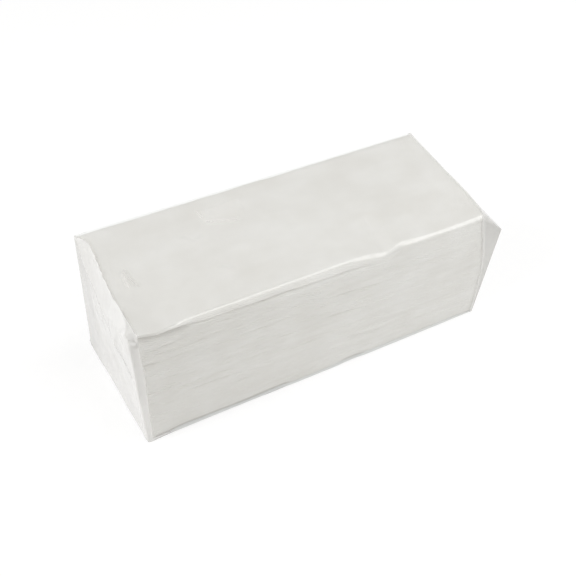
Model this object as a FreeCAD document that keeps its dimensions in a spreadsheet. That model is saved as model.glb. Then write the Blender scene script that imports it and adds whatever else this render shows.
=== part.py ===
"""Pack of interfolded paper hand towels in a clear film overwrap.

Two pieces: towel_stack, the block of interfolded towels, and film_wrap, the closed film skin
around it. Millimetres, +Z up. The origin is on the table under the middle of the pack, +X runs
along the pack's length and -Y is one of its two long sides.
"""
import FreeCAD, Part
import math
import os
import Sketcher

OUT = "parts"

DIMENSIONS = {
    # towels
    "towel_count": 100.0,
    "towel_width": 222.0,      # cut edge to cut edge, along the pack
    "towel_depth": 87.2,       # fold to fold, across the pack
    "towel_thickness": 0.86,   # one folded towel, pressed in the stack
    "fold_bulge": 0.33,        # how far a fold's nose stands out, as a share of its thickness
    "fold_play": 0.6,          # how far a fold can lie back from the foremost ones
    # film
    "film_wall": 0.15,         # one layer, thicker than real film so that it stays a sound solid
    "film_slack": 0.25,        # room between the film and the towels, above, below and beside
    "end_room": 3.7,           # room between the film's end walls and the towels' cut edges
    "film_edge_radius": 4.5,   # outside, along the four long edges
    "seam_lap": 22.0,          # overlap of the film's two long edges, under the pack
    "flap_gap": 5.0,           # between the tips of an end's top and bottom flap
    "flap_tip": 3.0,           # width of each flap at its tip
}

# What follows from the dimensions, as expressions on the sheet.
STACK_HEIGHT = "(dims.towel_count * dims.towel_thickness)"
STACK_FLOOR = "(2 * dims.film_wall + dims.film_slack)"
INNER_LENGTH = "(dims.towel_width + 2 * dims.end_room)"
INNER_DEPTH = "(dims.towel_depth + 2 * dims.film_slack)"
INNER_HEIGHT = "(%s + dims.film_wall + 2 * dims.film_slack)" % STACK_HEIGHT
TWO_WALLS = " + 2 * dims.film_wall"
FLAP_REACH = "(%s%s - dims.flap_gap) / 2" % (INNER_HEIGHT, TWO_WALLS)


def make_sheet(doc):
    """The driving dimensions, one row and one alias each."""
    sheet = doc.addObject("Spreadsheet::Sheet", "dims")
    for row, (alias, value) in enumerate(DIMENSIONS.items(), start=1):
        sheet.set("A%d" % row, alias)
        sheet.set("B%d" % row, str(value))
        sheet.setAlias("B%d" % row, alias)
    doc.recompute()
    return sheet


def bind(thing, expressions):
    """Tie an object's properties to the sheet."""
    for name, expression in expressions.items():
        thing.setExpression(name, expression)


# ---------------------------------------------------------------- towel_stack

def stray(number, side):
    """How far fold `number` lies out of line, from 0 to 1: the same on every build."""
    slow = math.sin(0.43 * number + 1.9 * side)
    quick = math.sin(2.17 * number + 0.7 * side)
    return 0.5 + 0.5 * (0.65 * slow + 0.35 * quick)


def corner_inset(height, stack_height, radius):
    """How far the film's rounded edge holds a towel back, at this height in the stack."""
    depth_in_corner = radius - min(height, stack_height - height)
    if depth_in_corner <= 0:
        return 0.0
    return radius - math.sqrt(radius ** 2 - depth_in_corner ** 2)


def fold_grooves(sheet, heights, side):
    """The grooves between one fold and the next, going up one long side."""
    radius = sheet.film_edge_radius - sheet.film_wall - sheet.film_slack
    foremost = sheet.towel_depth / 2 - sheet.fold_bulge * sheet.towel_thickness
    grooves = []
    for number, height in enumerate(heights):
        inset = corner_inset(height, heights[-1], radius)
        held = inset / radius
        back = sheet.fold_play * stray(number, side) * (1 - held)
        grooves.append(FreeCAD.Vector(0, side * (foremost - inset - back), height))
    return grooves


def fold_noses(sheet, grooves, side):
    """One rounded nose for each fold: an arc from groove to groove, flatter where it leans."""
    noses = []
    for low, high in zip(grooves, grooves[1:]):
        outwards = (high - low).cross(FreeCAD.Vector(side, 0, 0)).normalize()
        rise = high.z - low.z
        crown = (low + high) / 2 + outwards * sheet.fold_bulge * rise * rise / (high - low).Length
        noses.append(Part.Arc(low, crown, high).toShape())
    return noses


def towel_section(sheet):
    """The end view of the stack, with one fold to a towel on each long side.

    A towel turns back at the front, then at the back, round its neighbours' free edges, so the
    folds at the back lie half a towel higher than those at the front.
    """
    count = int(round(sheet.towel_count))
    pitch = sheet.towel_thickness
    front_heights = [pitch * number for number in range(count + 1)]
    back_heights = [0.0] + [pitch * (number + 0.5) for number in range(count)] + [pitch * count]
    front = fold_grooves(sheet, front_heights, -1)
    back = fold_grooves(sheet, back_heights, 1)
    top = Part.LineSegment(front[-1], back[-1]).toShape()
    bottom = Part.LineSegment(back[0], front[0]).toShape()
    up_the_front = fold_noses(sheet, front, -1)
    down_the_back = fold_noses(sheet, back, 1)[::-1]
    return Part.Face(Part.Wire(up_the_front + [top] + down_the_back + [bottom]))


def make_towel_stack(doc, sheet):
    """The section, drawn out to the towels' width; its ends are the towels' cut edges."""
    section = doc.addObject("Part::Feature", "towel_section")
    section.Shape = towel_section(sheet)
    stack = doc.addObject("Part::Extrusion", "towel_stack")
    stack.Label = "towel_stack"
    stack.Base = section
    stack.DirMode = "Custom"
    stack.Dir = FreeCAD.Vector(1, 0, 0)
    stack.Solid = True
    stack.Symmetric = True
    bind(stack, {"LengthFwd": "dims.towel_width", "Placement.Base.z": STACK_FLOOR})
    return stack


# ---------------------------------------------------------------- film_wrap

def origin_plane(body, role):
    """One of a body's own origin planes."""
    return next(item for item in body.Origin.OriginFeatures if item.Role == role)


def end_view_sketch(body, name):
    """A sketch across the pack: its own axes run along the pack's Y and Z."""
    sketch = body.newObject("Sketcher::SketchObject", name)
    sketch.AttachmentSupport = [(origin_plane(body, "YZ_Plane"), "")]
    sketch.MapMode = "FlatFace"
    return sketch


def add_size(sketch, name, kind, places, start, expression):
    """A named size, tied to the sheet; start is a rough value to solve from."""
    sketch.addConstraint(Sketcher.Constraint(kind, *places, start))
    sketch.renameConstraint(sketch.ConstraintCount - 1, name)
    sketch.setExpression("Constraints." + name, expression)


def draw_rounded_section(sketch, depth, height, floor, radius):
    """Rectangle with four round corners, centred on the upright axis and raised to the floor.

    Its sides go round from the bottom one as lines 0, 2, 4 and 6, each followed by an arc.
    """
    half, top, corner = 40.0, 80.0, 4.0
    starts = [(corner - half, 0), (half, corner), (half - corner, top), (-half, top - corner)]
    ends = [(half - corner, 0), (half, top - corner), (corner - half, top), (-half, corner)]
    upright = FreeCAD.Vector(0, 0, 1)
    for side in range(4):
        heading = side * math.pi / 2
        start = FreeCAD.Vector(*starts[side], 0)
        end = FreeCAD.Vector(*ends[side], 0)
        middle = end + FreeCAD.Vector(-math.sin(heading), math.cos(heading), 0) * corner
        circle = Part.Circle(middle, upright, corner)
        sketch.addGeometry(Part.LineSegment(start, end), False)
        sketch.addGeometry(Part.ArcOfCircle(circle, heading - math.pi / 2, heading), False)
    for side in range(4):
        line, arc, following = 2 * side, 2 * side + 1, (2 * side + 2) % 8
        sketch.addConstraint(Sketcher.Constraint("Tangent", line, 2, arc, 1))
        sketch.addConstraint(Sketcher.Constraint("Tangent", arc, 2, following, 1))
    sketch.addConstraint(Sketcher.Constraint("Symmetric", 0, 1, 0, 2, -2))
    for direction, line in (("Vertical", 2), ("Horizontal", 4), ("Vertical", 6)):
        sketch.addConstraint(Sketcher.Constraint(direction, line))
    for arc in (3, 5, 7):
        sketch.addConstraint(Sketcher.Constraint("Equal", 1, arc))
    add_size(sketch, "radius", "Radius", (1,), corner, radius)
    add_size(sketch, "depth", "DistanceX", (6, 1, 2, 1), 2 * half, depth)
    add_size(sketch, "height", "DistanceY", (0, 1, 4, 1), top, height)
    if floor is None:
        sketch.addConstraint(Sketcher.Constraint("PointOnObject", 0, 1, -1))
    else:
        add_size(sketch, "floor", "DistanceY", (-1, 1, 0, 1), 1.0, floor)


def add_skin(body):
    """The wrapped block, and the hollow one film wall inside it all round."""
    outer = end_view_sketch(body, "outer_section")
    draw_rounded_section(outer, INNER_DEPTH + TWO_WALLS, INNER_HEIGHT + TWO_WALLS, None,
                         "dims.film_edge_radius")
    block = body.newObject("PartDesign::Pad", "block")
    block.Profile = outer
    block.SideType = "Symmetric"
    bind(block, {"Length": INNER_LENGTH + TWO_WALLS})
    inner = end_view_sketch(body, "inner_section")
    draw_rounded_section(inner, INNER_DEPTH, INNER_HEIGHT, "dims.film_wall",
                         "dims.film_edge_radius - dims.film_wall")
    hollow = body.newObject("PartDesign::Pocket", "hollow")
    hollow.Profile = inner
    hollow.SideType = "Symmetric"
    bind(hollow, {"Length": INNER_LENGTH})


def draw_flap(sketch, name, root, tip, root_height):
    """One end flap: straight across its fold, narrowing by slanted folds to its tip."""
    first = sketch.GeometryCount
    corners = [(-35.0, root), (35.0, root), (2.0, tip), (-2.0, tip)]
    points = [FreeCAD.Vector(x, y, 0) for x, y in corners]
    for start, end in zip(points, points[1:] + points[:1]):
        sketch.addGeometry(Part.LineSegment(start, end), False)
    for side in range(4):
        following = first + (side + 1) % 4
        sketch.addConstraint(Sketcher.Constraint("Coincident", first + side, 2, following, 1))
    for line in (first, first + 2):
        sketch.addConstraint(Sketcher.Constraint("Symmetric", line, 1, line, 2, -2))
    fold_end, tip_end = (first, 1), (first + 2, 2)
    upwards = fold_end + tip_end if root < tip else tip_end + fold_end
    add_size(sketch, name + "_fold", "DistanceX", (first, 1, first, 2), 70.0,
             INNER_DEPTH + TWO_WALLS + " - 2 * dims.film_edge_radius")
    add_size(sketch, name + "_tip", "DistanceX", (first + 2, 2, first + 2, 1), 4.0, "dims.flap_tip")
    add_size(sketch, name + "_reach", "DistanceY", upwards, abs(root - tip), FLAP_REACH)
    if root_height is None:
        sketch.addConstraint(Sketcher.Constraint("PointOnObject", first, 1, -1))
    else:
        add_size(sketch, name + "_height", "DistanceY", (-1, 1, first, 1), root, root_height)


def add_flaps(body):
    """Top and bottom flap at both ends, folded over the side tucks.

    The tucks are folded in first, and the skin's end wall stands for them.
    """
    outline = end_view_sketch(body, "flap_outline")
    bind(outline, {"AttachmentOffset.Base.z": INNER_LENGTH + " / 2 + dims.film_wall"})
    draw_flap(outline, "top", 80.0, 50.0, INNER_HEIGHT + TWO_WALLS)
    draw_flap(outline, "bottom", 0.0, 30.0, None)
    flaps = body.newObject("PartDesign::Pad", "end_flaps")
    flaps.Profile = outline
    bind(flaps, {"Length": "dims.film_wall"})
    body.Document.recompute()
    far = body.newObject("PartDesign::Mirrored", "far_end_flaps")
    far.Originals = [flaps]
    far.MirrorPlane = (origin_plane(body, "YZ_Plane"), [""])
    body.Tip = far


def add_seam(body):
    """The second layer where the film's long edges lap, inside the flat underside."""
    seam = body.newObject("PartDesign::AdditiveBox", "seam")
    bind(seam, {
        "Length": INNER_LENGTH,
        "Width": "dims.seam_lap",
        "Height": "dims.film_wall",
        "Placement.Base.x": "-%s / 2" % INNER_LENGTH,
        "Placement.Base.y": "-dims.seam_lap / 2",
        "Placement.Base.z": "dims.film_wall",
    })


def make_film_wrap(doc):
    """Closed skin of film with its lap underneath and folded flaps at both ends."""
    body = doc.addObject("PartDesign::Body", "film_wrap")
    body.Label = "film_wrap"
    add_skin(body)
    doc.recompute()
    add_flaps(body)
    doc.recompute()
    add_seam(body)
    return body


# ---------------------------------------------------------------- build and export

def check(doc, pieces):
    """Stop on any failed object or unsound piece before anything is written."""
    for item in doc.Objects:
        if "Invalid" in item.State or "Error" in item.State:
            raise RuntimeError("failed object: " + item.Name)
    for piece in pieces:
        shape = piece.Shape
        if shape.isNull() or not shape.isValid() or len(shape.Solids) != 1:
            raise RuntimeError("unsound piece: " + piece.Label)


def main():
    os.makedirs(OUT, exist_ok=True)
    doc = FreeCAD.newDocument("towel_pack")
    sheet = make_sheet(doc)
    pieces = [make_towel_stack(doc, sheet), make_film_wrap(doc)]
    doc.recompute()
    check(doc, pieces)
    for piece in pieces:
        piece.Shape.exportStep(os.path.join(OUT, piece.Label + ".step"))
        box = piece.Shape.BoundBox
        print("%s: %.3f cm3, %.2f x %.2f x %.2f mm" % (
            piece.Label, piece.Shape.Volume / 1000, box.XLength, box.YLength, box.ZLength))


main()
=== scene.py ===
"""Looks of the pack of interfolded paper hand towels in its clear film overwrap.

Metres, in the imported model's frame: the origin is on the table under the middle of the pack,
+X runs along it, -Y is the long side that the camera sees and +Z is up. Shapes are worked out in
millimetres, with numpy arrays x, y and z for a whole grid of points at once, and are turned to
metres when a mesh is made.
"""
import math

import bpy
import numpy as np
from mathutils import Matrix, Vector


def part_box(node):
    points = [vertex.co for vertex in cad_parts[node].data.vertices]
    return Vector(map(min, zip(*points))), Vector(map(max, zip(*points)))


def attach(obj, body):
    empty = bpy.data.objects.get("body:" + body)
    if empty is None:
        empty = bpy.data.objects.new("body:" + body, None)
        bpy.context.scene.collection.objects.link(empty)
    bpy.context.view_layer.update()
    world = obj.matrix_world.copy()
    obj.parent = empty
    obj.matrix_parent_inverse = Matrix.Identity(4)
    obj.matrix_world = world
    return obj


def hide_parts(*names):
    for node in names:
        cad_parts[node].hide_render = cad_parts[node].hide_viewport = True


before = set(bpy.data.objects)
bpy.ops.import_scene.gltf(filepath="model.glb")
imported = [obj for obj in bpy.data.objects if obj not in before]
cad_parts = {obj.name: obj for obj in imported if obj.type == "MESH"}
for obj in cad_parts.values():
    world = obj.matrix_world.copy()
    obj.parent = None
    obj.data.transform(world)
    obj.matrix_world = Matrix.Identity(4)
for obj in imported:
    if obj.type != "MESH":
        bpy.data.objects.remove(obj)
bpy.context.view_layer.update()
MM = 0.001
stack_low, stack_high = [np.array(corner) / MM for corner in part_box("towel_stack")]
wrap_high = np.array(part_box("film_wrap")[1]) / MM

# ---------------- sizes, in millimetres

TOWELS = 100
STACK_END = stack_high[0]  # the towels' cut edges, at both ends
STACK_SIDE = stack_high[1]  # the foremost folds
STACK_FLOOR, STACK_TOP = stack_low[2], stack_high[2]
WRAP_END, WRAP_SIDE, WRAP_TOP = wrap_high
WRAP_EDGE = 4.2  # radius of the film along the four long edges
FILM_GAP = 0.3  # the film lies this far outside the towels
TOP_FACE_FROM = WRAP_TOP - 3.0  # film above this height belongs to the top face
LEFT_END_FROM = -108.0  # the folds of the -X end start at this X, on the top
TOWEL_SHARP_ANGLE = 62.0  # towels are shaded smooth below this angle, in degrees
FILM_SHARP_ANGLE = 70.0  # and the film below this one

LAYER_SLOPE = 7.0  # how much lower the layers lie at +X than at -X

# How far the top front edge has settled, at places along X, and how far back the top slopes to it.
SETTLED_X = [-116, -112, -100, -88, 18, 28, 40, 51, 63, 104, 112]
SETTLED_BY = [0.4, 0.9, 3.6, 4.4, 4.6, 5.6, 8.2, 4.8, 6.3, 6.5, 5.8]
SETTLING_WIDTH = 60.0
SETTLING_FALLOFF = 1.5  # power of the share by which it fades towards the back
SETTLING_RISE = 5  # power of the height by which it grows towards the top

# The stack leans: how far its cut ends have moved along X at these heights. At +X its front has
# turned away more than its back.
LEAN_HEIGHTS = [0, 17, 35, 52, 60, 70, 87]
LEAN_LEFT = [-0.6, -0.9, -1.3, -1.6, -1.8, -2.8, -3.2]
LEAN_RIGHT_FRONT = [3.3, 4.2, 4.7, 2.6, 0.8, -1.4, -4.0]
LEAN_RIGHT_BACK = 3.3
TOP_LEAN_Y = [-44, -36, -22, 0, 22, 44]  # the top's edge at +X, from front to back
TOP_LEAN_RIGHT = [-4.0, 0.1, 0.5, -0.5, 1.3, 3.2]

# Flat facets along the top front edge: where each starts, is widest and ends along X, and its depth.
FACETS = [(10, 35, 42, 0.42), (48, 55, 78, 0.42), (-70, -40, -8, 0.08)]
FACET_TILT = math.radians(31)  # how far a facet leans forward
NO_CUT = -0.05  # depth where there is no facet, so that nothing is cut
FACETS_FROM = -75.0  # facets are cut only beyond this X

EAR = np.array([121.2, -47.0, 69.0])  # tip of the film's folded corner at +X, -Y
LEFT_PULL = 3.9  # how far the film's corner at -X, -Y, top stands out past the box
LEFT_CORNER_DROP = 2.0  # and how far it has come down
FOLD_ROUNDING = 0.02  # of the film's fold at -X, as a share of its end wall
BACK_EDGE_SHARPNESS = 0.93  # how far the top back edge is drawn out to a sharp corner
WALL_BULGE = 0.7  # how far the end walls stand out in the middle

# The film is stretched flat over the top edge at -X: how far in on the top this starts and how far
# down on the wall it ends, at places along Y.
CHAMFER_Y = [-43, -39, -34, -22, -12, -5, 0, 5, 16, 26, 34, 39, 44]
CHAMFER_X = [-118.8, -117.3, -115.0, -113.8, -114.0, -113.6, -113.3, -112.8, -111.6, -110.2, -109.8,
             -111.5, -115.2]
CHAMFER_Z = [86.6, 84, 79, 76, 73, 70, 69, 69.5, 72, 76, 80.5, 83.5, 86.9]
CHAMFER_STAND_OFF = 0.2  # the flat meets the end wall this far outside it
CHAMFER_BEFORE = -100.0  # only points before this X are moved

# Along the bottom front edge the film stands off the table here, from one X to another.
LIFTED = [(-108, -24), (13, 27)]

# Creases on the top face: the path in X and Y, the height, the width, how white the film looks along
# it (partly creased film, partly a painted highlight), and how grey (painted shade).
TOP_CREASES = [
    ([(-101.3, 4), (-101, -3), (-99.3, -10)], 0.4, 0.8, 0.45, 0.5),
    ([(-102.8, 1), (-104, -4), (-104.2, -9)], 0.35, 0.9, 0.55, 0.0),
    ([(-62, 15), (-58, 10), (-53, 11)], 0.14, 1.4, 0.15, 0.3),
    ([(-53, -15), (-48, -18)], 0.14, 1.4, 0.15, 0.3),
    ([(-45, 32), (-44, 21), (-27, 14)], 0.4, 1.2, 0.3, 0.0),
]

# Where the film has come away from the top towel, and looks a little whiter: an outline in X and Y.
LOOSE_PATCH = [(-45, 32), (-44, 22), (-36, 16), (-27, 14), (-19, 22), (-16, 34)]

# A flat tilted patch of the -X end: an outline in y and in distance down the film.
BRIGHT_FACET = [(-12, 9), (-11, 29), (-18, 37), (-32, 9), (-23, 5)]

# A star of small folds near the top of the upright edge at -X, -Y, painted on the film as shade with
# paler rays: its middle, reach and a seed.
STAR = ((-114.6, -44, 81.2), 5.0, 108)

# Gathered corners: the corner, how many folds, how far they reach, how high they are and a seed.
PINCHES = [
    ((-116.0, -44, 84), 4, 4.5, 0.5, 101),
    ((-115, 44, 0), 4, 10.0, 0.6, 105),
    ((115, 44, 0), 4, 10.0, 0.6, 107),
]


# ---------------- shapes in arrays

def smooth_step(low, high, value):
    """0 below low, 1 above high, and a smooth rise between them."""
    share = np.clip((value - low) / (high - low), 0, 1)
    return share * share * (3 - 2 * share)


def window(open_from, open_to, close_from, close_to, value):
    """0 outside, 1 in the middle, and smooth sides."""
    return smooth_step(open_from, open_to, value) * (1 - smooth_step(close_from, close_to, value))


def blend(first, second, share):
    """From first at 0 to second at 1."""
    return first + (second - first) * share


NOISE_SIZE = 97  # the noise repeats after this many cells


def smooth_noise(u, v, seed):
    """Noise from -1 to 1 that changes over a distance of about 1 in u and v."""
    u, v = np.broadcast_arrays(np.asarray(u, float), np.asarray(v, float))
    table = np.random.default_rng(seed).uniform(-1, 1, (NOISE_SIZE, NOISE_SIZE))
    column, row = np.floor(u).astype(int), np.floor(v).astype(int)
    across, up = smooth_step(0, 1, u - column), smooth_step(0, 1, v - row)
    column, next_column = column % NOISE_SIZE, (column + 1) % NOISE_SIZE
    low, high = [blend(table[column, line], table[next_column, line], across)
                 for line in (row % NOISE_SIZE, (row + 1) % NOISE_SIZE)]
    return blend(low, high, up)


def creased_noise(u, v, seed):
    """Noise from 0 to 1 with sharp ridges, like crumpled film."""
    broad = 1 - np.abs(smooth_noise(u, v, seed))
    fine = 1 - np.abs(smooth_noise(2.3 * u + 5.1, 2.3 * v + 1.7, seed + 1))
    return 0.7 * broad ** 2 + 0.3 * broad * fine


def distance_to_path(u, v, path):
    """How far each point (u, v) is from a line through the path's points."""
    nearest = np.full(np.shape(u), 1e9)
    for (u0, v0), (u1, v1) in zip(path, path[1:]):
        along_u, along_v = u1 - u0, v1 - v0
        length_squared = along_u ** 2 + along_v ** 2
        share = np.clip(((u - u0) * along_u + (v - v0) * along_v) / length_squared, 0, 1)
        gap = np.hypot(u - u0 - share * along_u, v - v0 - share * along_v)
        nearest = np.minimum(nearest, gap)
    return nearest


def crease(u, v, path, width):
    """A ridge along a path, 1 on it and falling off over the width."""
    return np.exp(-(distance_to_path(u, v, path) / width) ** 1.5)


def sharper_front_edge(x):
    """How far the top front edge is drawn to a sharp corner: near the ends, most of all at -X."""
    return 1 - smooth_step(-102, -82, x) + 0.72 * smooth_step(64, 104, x)


def lifted_share(x):
    """1 where the film stands off the table along the bottom front edge, and 0 elsewhere."""
    lifted = np.zeros(np.shape(x))
    for start, end in LIFTED:
        lifted += window(start - 3, start + 3, end - 3, end + 3, x)
    return lifted


def sharper_bottom_edge(x):
    """How far the bottom front edge is pressed to a sharp corner: where it lies on the table."""
    return 0.9 - 0.22 * lifted_share(x)


def forward_share(y):
    """0 at the back of the pack and 1 at its front."""
    return np.clip((WRAP_SIDE - y) / (2 * WRAP_SIDE), 0, 1)


def lean(x, y, z):
    """How far a point of the stack has moved along X because the stack leans."""
    left = np.interp(z, LEAN_HEIGHTS, LEAN_LEFT)
    right = blend(LEAN_RIGHT_BACK, np.interp(z, LEAN_HEIGHTS, LEAN_RIGHT_FRONT), forward_share(y))
    right = blend(right, np.interp(y, TOP_LEAN_Y, TOP_LEAN_RIGHT), smooth_step(66, 84, z))
    return blend(left, right, np.clip(0.5 + 0.5 * x / STACK_END, 0, 1))


def settled(x, y, z):
    """The pack's soft shape: where the points of a square block have moved, as new x, y and z.

    The film and the towels go through the same change, so one stays outside the other.
    """
    cut = np.full(x.shape, NO_CUT)
    for start, widest, end, depth in FACETS:
        rising = np.clip((x - start) / (widest - start), 0, 1)
        falling = np.clip((end - x) / (end - widest), 0, 1)
        cut += depth * np.minimum(rising, falling)
    lean_y, lean_z = -math.sin(FACET_TILT), math.cos(FACET_TILT)
    corner_y, corner_z = -(WRAP_SIDE - WRAP_EDGE), WRAP_TOP - WRAP_EDGE
    reach = (y - corner_y) * lean_y + (z - corner_z) * lean_z
    radius = np.hypot(y - corner_y, z - corner_z)
    limit = WRAP_EDGE - cut - np.where(radius < WRAP_EDGE - 0.1, FILM_GAP, 0)
    over = np.clip(reach - limit, 0, None) * (y < corner_y + 2) * (x > FACETS_FROM)
    y, z = y - over * lean_y, z - over * lean_z
    share_of_height = np.clip(z / STACK_TOP, 0, 1)
    near_front = smooth_step(0, SETTLING_WIDTH, SETTLING_WIDTH - (y + STACK_SIDE))
    near_front = near_front ** SETTLING_FALLOFF
    z = z - np.interp(x, SETTLED_X, SETTLED_BY) * near_front * share_of_height ** SETTLING_RISE
    return x + lean(x, y, z), y, z


def chamfered(points, inset):
    """Points moved in to the flat that the stretched film makes of the top edge at -X."""
    x, y, z = np.moveaxis(points, -1, 0)
    top_x = np.interp(y, CHAMFER_Y, CHAMFER_X)
    low_z = np.interp(y, CHAMFER_Y, CHAMFER_Z)
    along_x = wall_place(y, low_z, -1) - CHAMFER_STAND_OFF - top_x
    along_z = low_z - WRAP_TOP
    length = np.hypot(along_x, along_z)
    out_x, out_z = along_z / length, -along_x / length
    outside = np.clip((x - top_x) * out_x + (z - WRAP_TOP) * out_z + inset, 0, None)
    outside = outside * (x < CHAMFER_BEFORE)
    return np.stack([x - outside * out_x, y, z - outside * out_z], axis=-1)


# ---------------- meshes from grids

def quads(grid):
    """Four-sided faces between the points of a grid, given as the points' numbers."""
    corners = [grid[:-1, :-1], grid[:-1, 1:], grid[1:, 1:], grid[1:, :-1]]
    return np.stack([corner.ravel() for corner in corners], axis=1)


def tube_faces(rings, around):
    """The faces of a tube whose points are numbered ring by ring."""
    grid = np.arange(rings * around).reshape(rings, around)
    return quads(np.concatenate([grid, grid[:, :1]], axis=1))


def add_object(name, data):
    """A new object in the scene."""
    item = bpy.data.objects.new(name, data)
    bpy.context.scene.collection.objects.link(item)
    return item


def make_object(name, points, faces, material, sharp_angle):
    """A mesh object from points in millimetres, with its edges sharp from an angle in degrees."""
    mesh = bpy.data.meshes.new(name)
    mesh.from_pydata((points * MM).tolist(), [], [list(face) for face in faces])
    mesh.validate()
    mesh.update()
    mesh.materials.append(material)
    mesh.polygons.foreach_set("use_smooth", [True] * len(mesh.polygons))
    mesh.set_sharp_from_angle(angle=math.radians(sharp_angle))
    return add_object(name, mesh)


def write_values(item, name, values):
    """Keep one number for each point of the mesh, for the material to read."""
    layer = item.data.attributes.new(name, "FLOAT", "POINT")
    layer.data.foreach_set("value", values.astype(np.float32))


# ---------------- nodes

def new_material(name):
    """A material with an empty node tree, and its output node."""
    material = bpy.data.materials.new(name)
    material.use_nodes = True
    material.node_tree.nodes.clear()
    return material, material.node_tree.nodes.new("ShaderNodeOutputMaterial")


class Nodes:
    """Short calls for adding and linking the nodes of one tree."""

    def __init__(self, tree):
        self.tree = tree

    def add(self, kind, settings=None, **inputs):
        node = self.tree.nodes.new("ShaderNode" + kind)
        for name, value in (settings or {}).items():
            setattr(node, name, value)
        for name, value in inputs.items():
            self.put(node.inputs[name.replace("_", " ")], value)
        return node

    def put(self, socket, value):
        if isinstance(value, bpy.types.NodeSocket):
            self.tree.links.new(value, socket)
        else:
            socket.default_value = value

    def fill(self, node, *values):
        for socket, value in zip(node.inputs, values):
            self.put(socket, value)
        return node.outputs[0]

    def math(self, operation, first, second=0.0, third=0.0):
        return self.fill(self.add("Math", {"operation": operation}), first, second, third)

    def mix(self, share, first, second):
        return self.fill(self.add("MixShader"), share, first, second)

    def stretched(self, source, scale):
        return self.add("Mapping", Vector=source, Scale=scale).outputs[0]

    def noise(self, place, scale, detail=2.0, roughness=0.5):
        node = self.add("TexNoise", Vector=place, Scale=scale, Detail=detail, Roughness=roughness)
        return node.outputs[0]

    def ramp(self, value, low_colour, high_colour, low, high):
        node = self.add("ValToRGB", Fac=value)
        for stop, place, colour in zip(node.color_ramp.elements, (low, high),
                                       (low_colour, high_colour)):
            stop.position = place
            stop.color = (*colour, 1)
        return node.outputs[0]

    def bump(self, height, distance, strength, **under):
        node = self.add("Bump", Height=height, Distance=distance, Strength=strength, **under)
        return node.outputs[0]

    def looked_at(self):
        """1 for rays from the camera, also by way of a mirror or glass, and 0 for the rest."""
        path = self.add("LightPath")
        looking = self.math("MAXIMUM", path.outputs["Is Camera Ray"], path.outputs["Is Glossy Ray"])
        return self.math("MAXIMUM", looking, path.outputs["Is Transmission Ray"])


# ---------------- materials

# The paper's two tones, and what it is multiplied by where the painted shade is deepest, between
# deep folds and under the lifted film.
PAPER_DARK, PAPER_LIGHT = (0.815, 0.797, 0.764), (0.88, 0.867, 0.845)
DEEPEST_PAINTED_SHADE = (0.50, 0.48, 0.45)
TOWEL_TONES = (25, 60, 420)  # changes of tone to a metre: along, across and up the stack
BLOTCHES, PILLOWS, FIBRES = 55.0, 520.0, 2600.0  # to a metre
PILLOW_DEPTH, FIBRE_DEPTH = 0.00012, 0.00010  # in metres

# The film mirrors this share of the light face on, and more of it towards a glance.
MIRROR_FACE_ON, MIRROR_AT_GLANCE, GLANCE_POWER = 0.075, 0.80, 4.5
GLOSS_ROUGHNESS = 0.17
RIPPLES, FINE_RIPPLES = 85.0, 620.0  # to a metre
RIPPLE_DEPTH, FINE_RIPPLE_DEPTH = 0.0005, 0.00004  # in metres
CLEAR_FILM, CLEAR_FILM_BY_FOLDS = (0.985, 0.99, 0.985), (0.95, 0.95, 0.94)
# The milk's own pale colour, and its colour where the painted shade is deepest.
MILK_PALE, MILK_IN_PAINTED_SHADE = (0.95, 0.945, 0.93), (0.58, 0.573, 0.55)
MILK_THROUGH = 0.36  # share of the light on milky film that goes through it
STREAKS, STREAK_MILK = 45.0, 0.07  # streaks to a metre, and how much milkier they make the film


def make_paper():
    """Soft white tissue: fibres, a light embossing, a slight change of tone between towels, and
    painted shade between deep folds and under the lifted film.
    """
    material, output = new_material("tissue_paper")
    nodes = Nodes(material.node_tree)
    place = nodes.add("TexCoord").outputs["Object"]
    between_towels = nodes.noise(nodes.stretched(place, TOWEL_TONES), 1.0, 2.0)
    blotches = nodes.noise(place, BLOTCHES, 3.0)
    tone = nodes.math("MULTIPLY_ADD", between_towels, 0.45, nodes.math("MULTIPLY", blotches, 0.55))
    colour = nodes.ramp(tone, PAPER_DARK, PAPER_LIGHT, 0.32, 0.68)
    # Painted shade: the paper is darkened where the towels' mesh marks it, between deep folds and
    # under the lifted film.
    hollow = nodes.add("Attribute", {"attribute_name": "hollow"}).outputs["Fac"]
    shade = nodes.ramp(hollow, (1, 1, 1), DEEPEST_PAINTED_SHADE, 0.0, 1.0)
    colour = nodes.fill(nodes.add("VectorMath", {"operation": "MULTIPLY"}), colour, shade)
    fibres = nodes.noise(nodes.stretched(place, (1, 1.3, 2.2)), FIBRES, 3.0, 0.65)
    pillows = nodes.add("TexVoronoi", {"feature": "SMOOTH_F1"}, Vector=place, Scale=PILLOWS)
    embossed = nodes.bump(pillows.outputs["Distance"], PILLOW_DEPTH, 0.5)
    surface = nodes.bump(fibres, FIBRE_DEPTH, 0.6, Normal=embossed)
    paper = nodes.add("BsdfPrincipled", Base_Color=colour, Roughness=0.9, Normal=surface)
    paper.inputs["Specular IOR Level"].default_value = 0.25
    nodes.put(output.inputs["Surface"], paper.outputs[0])
    return material


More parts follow.
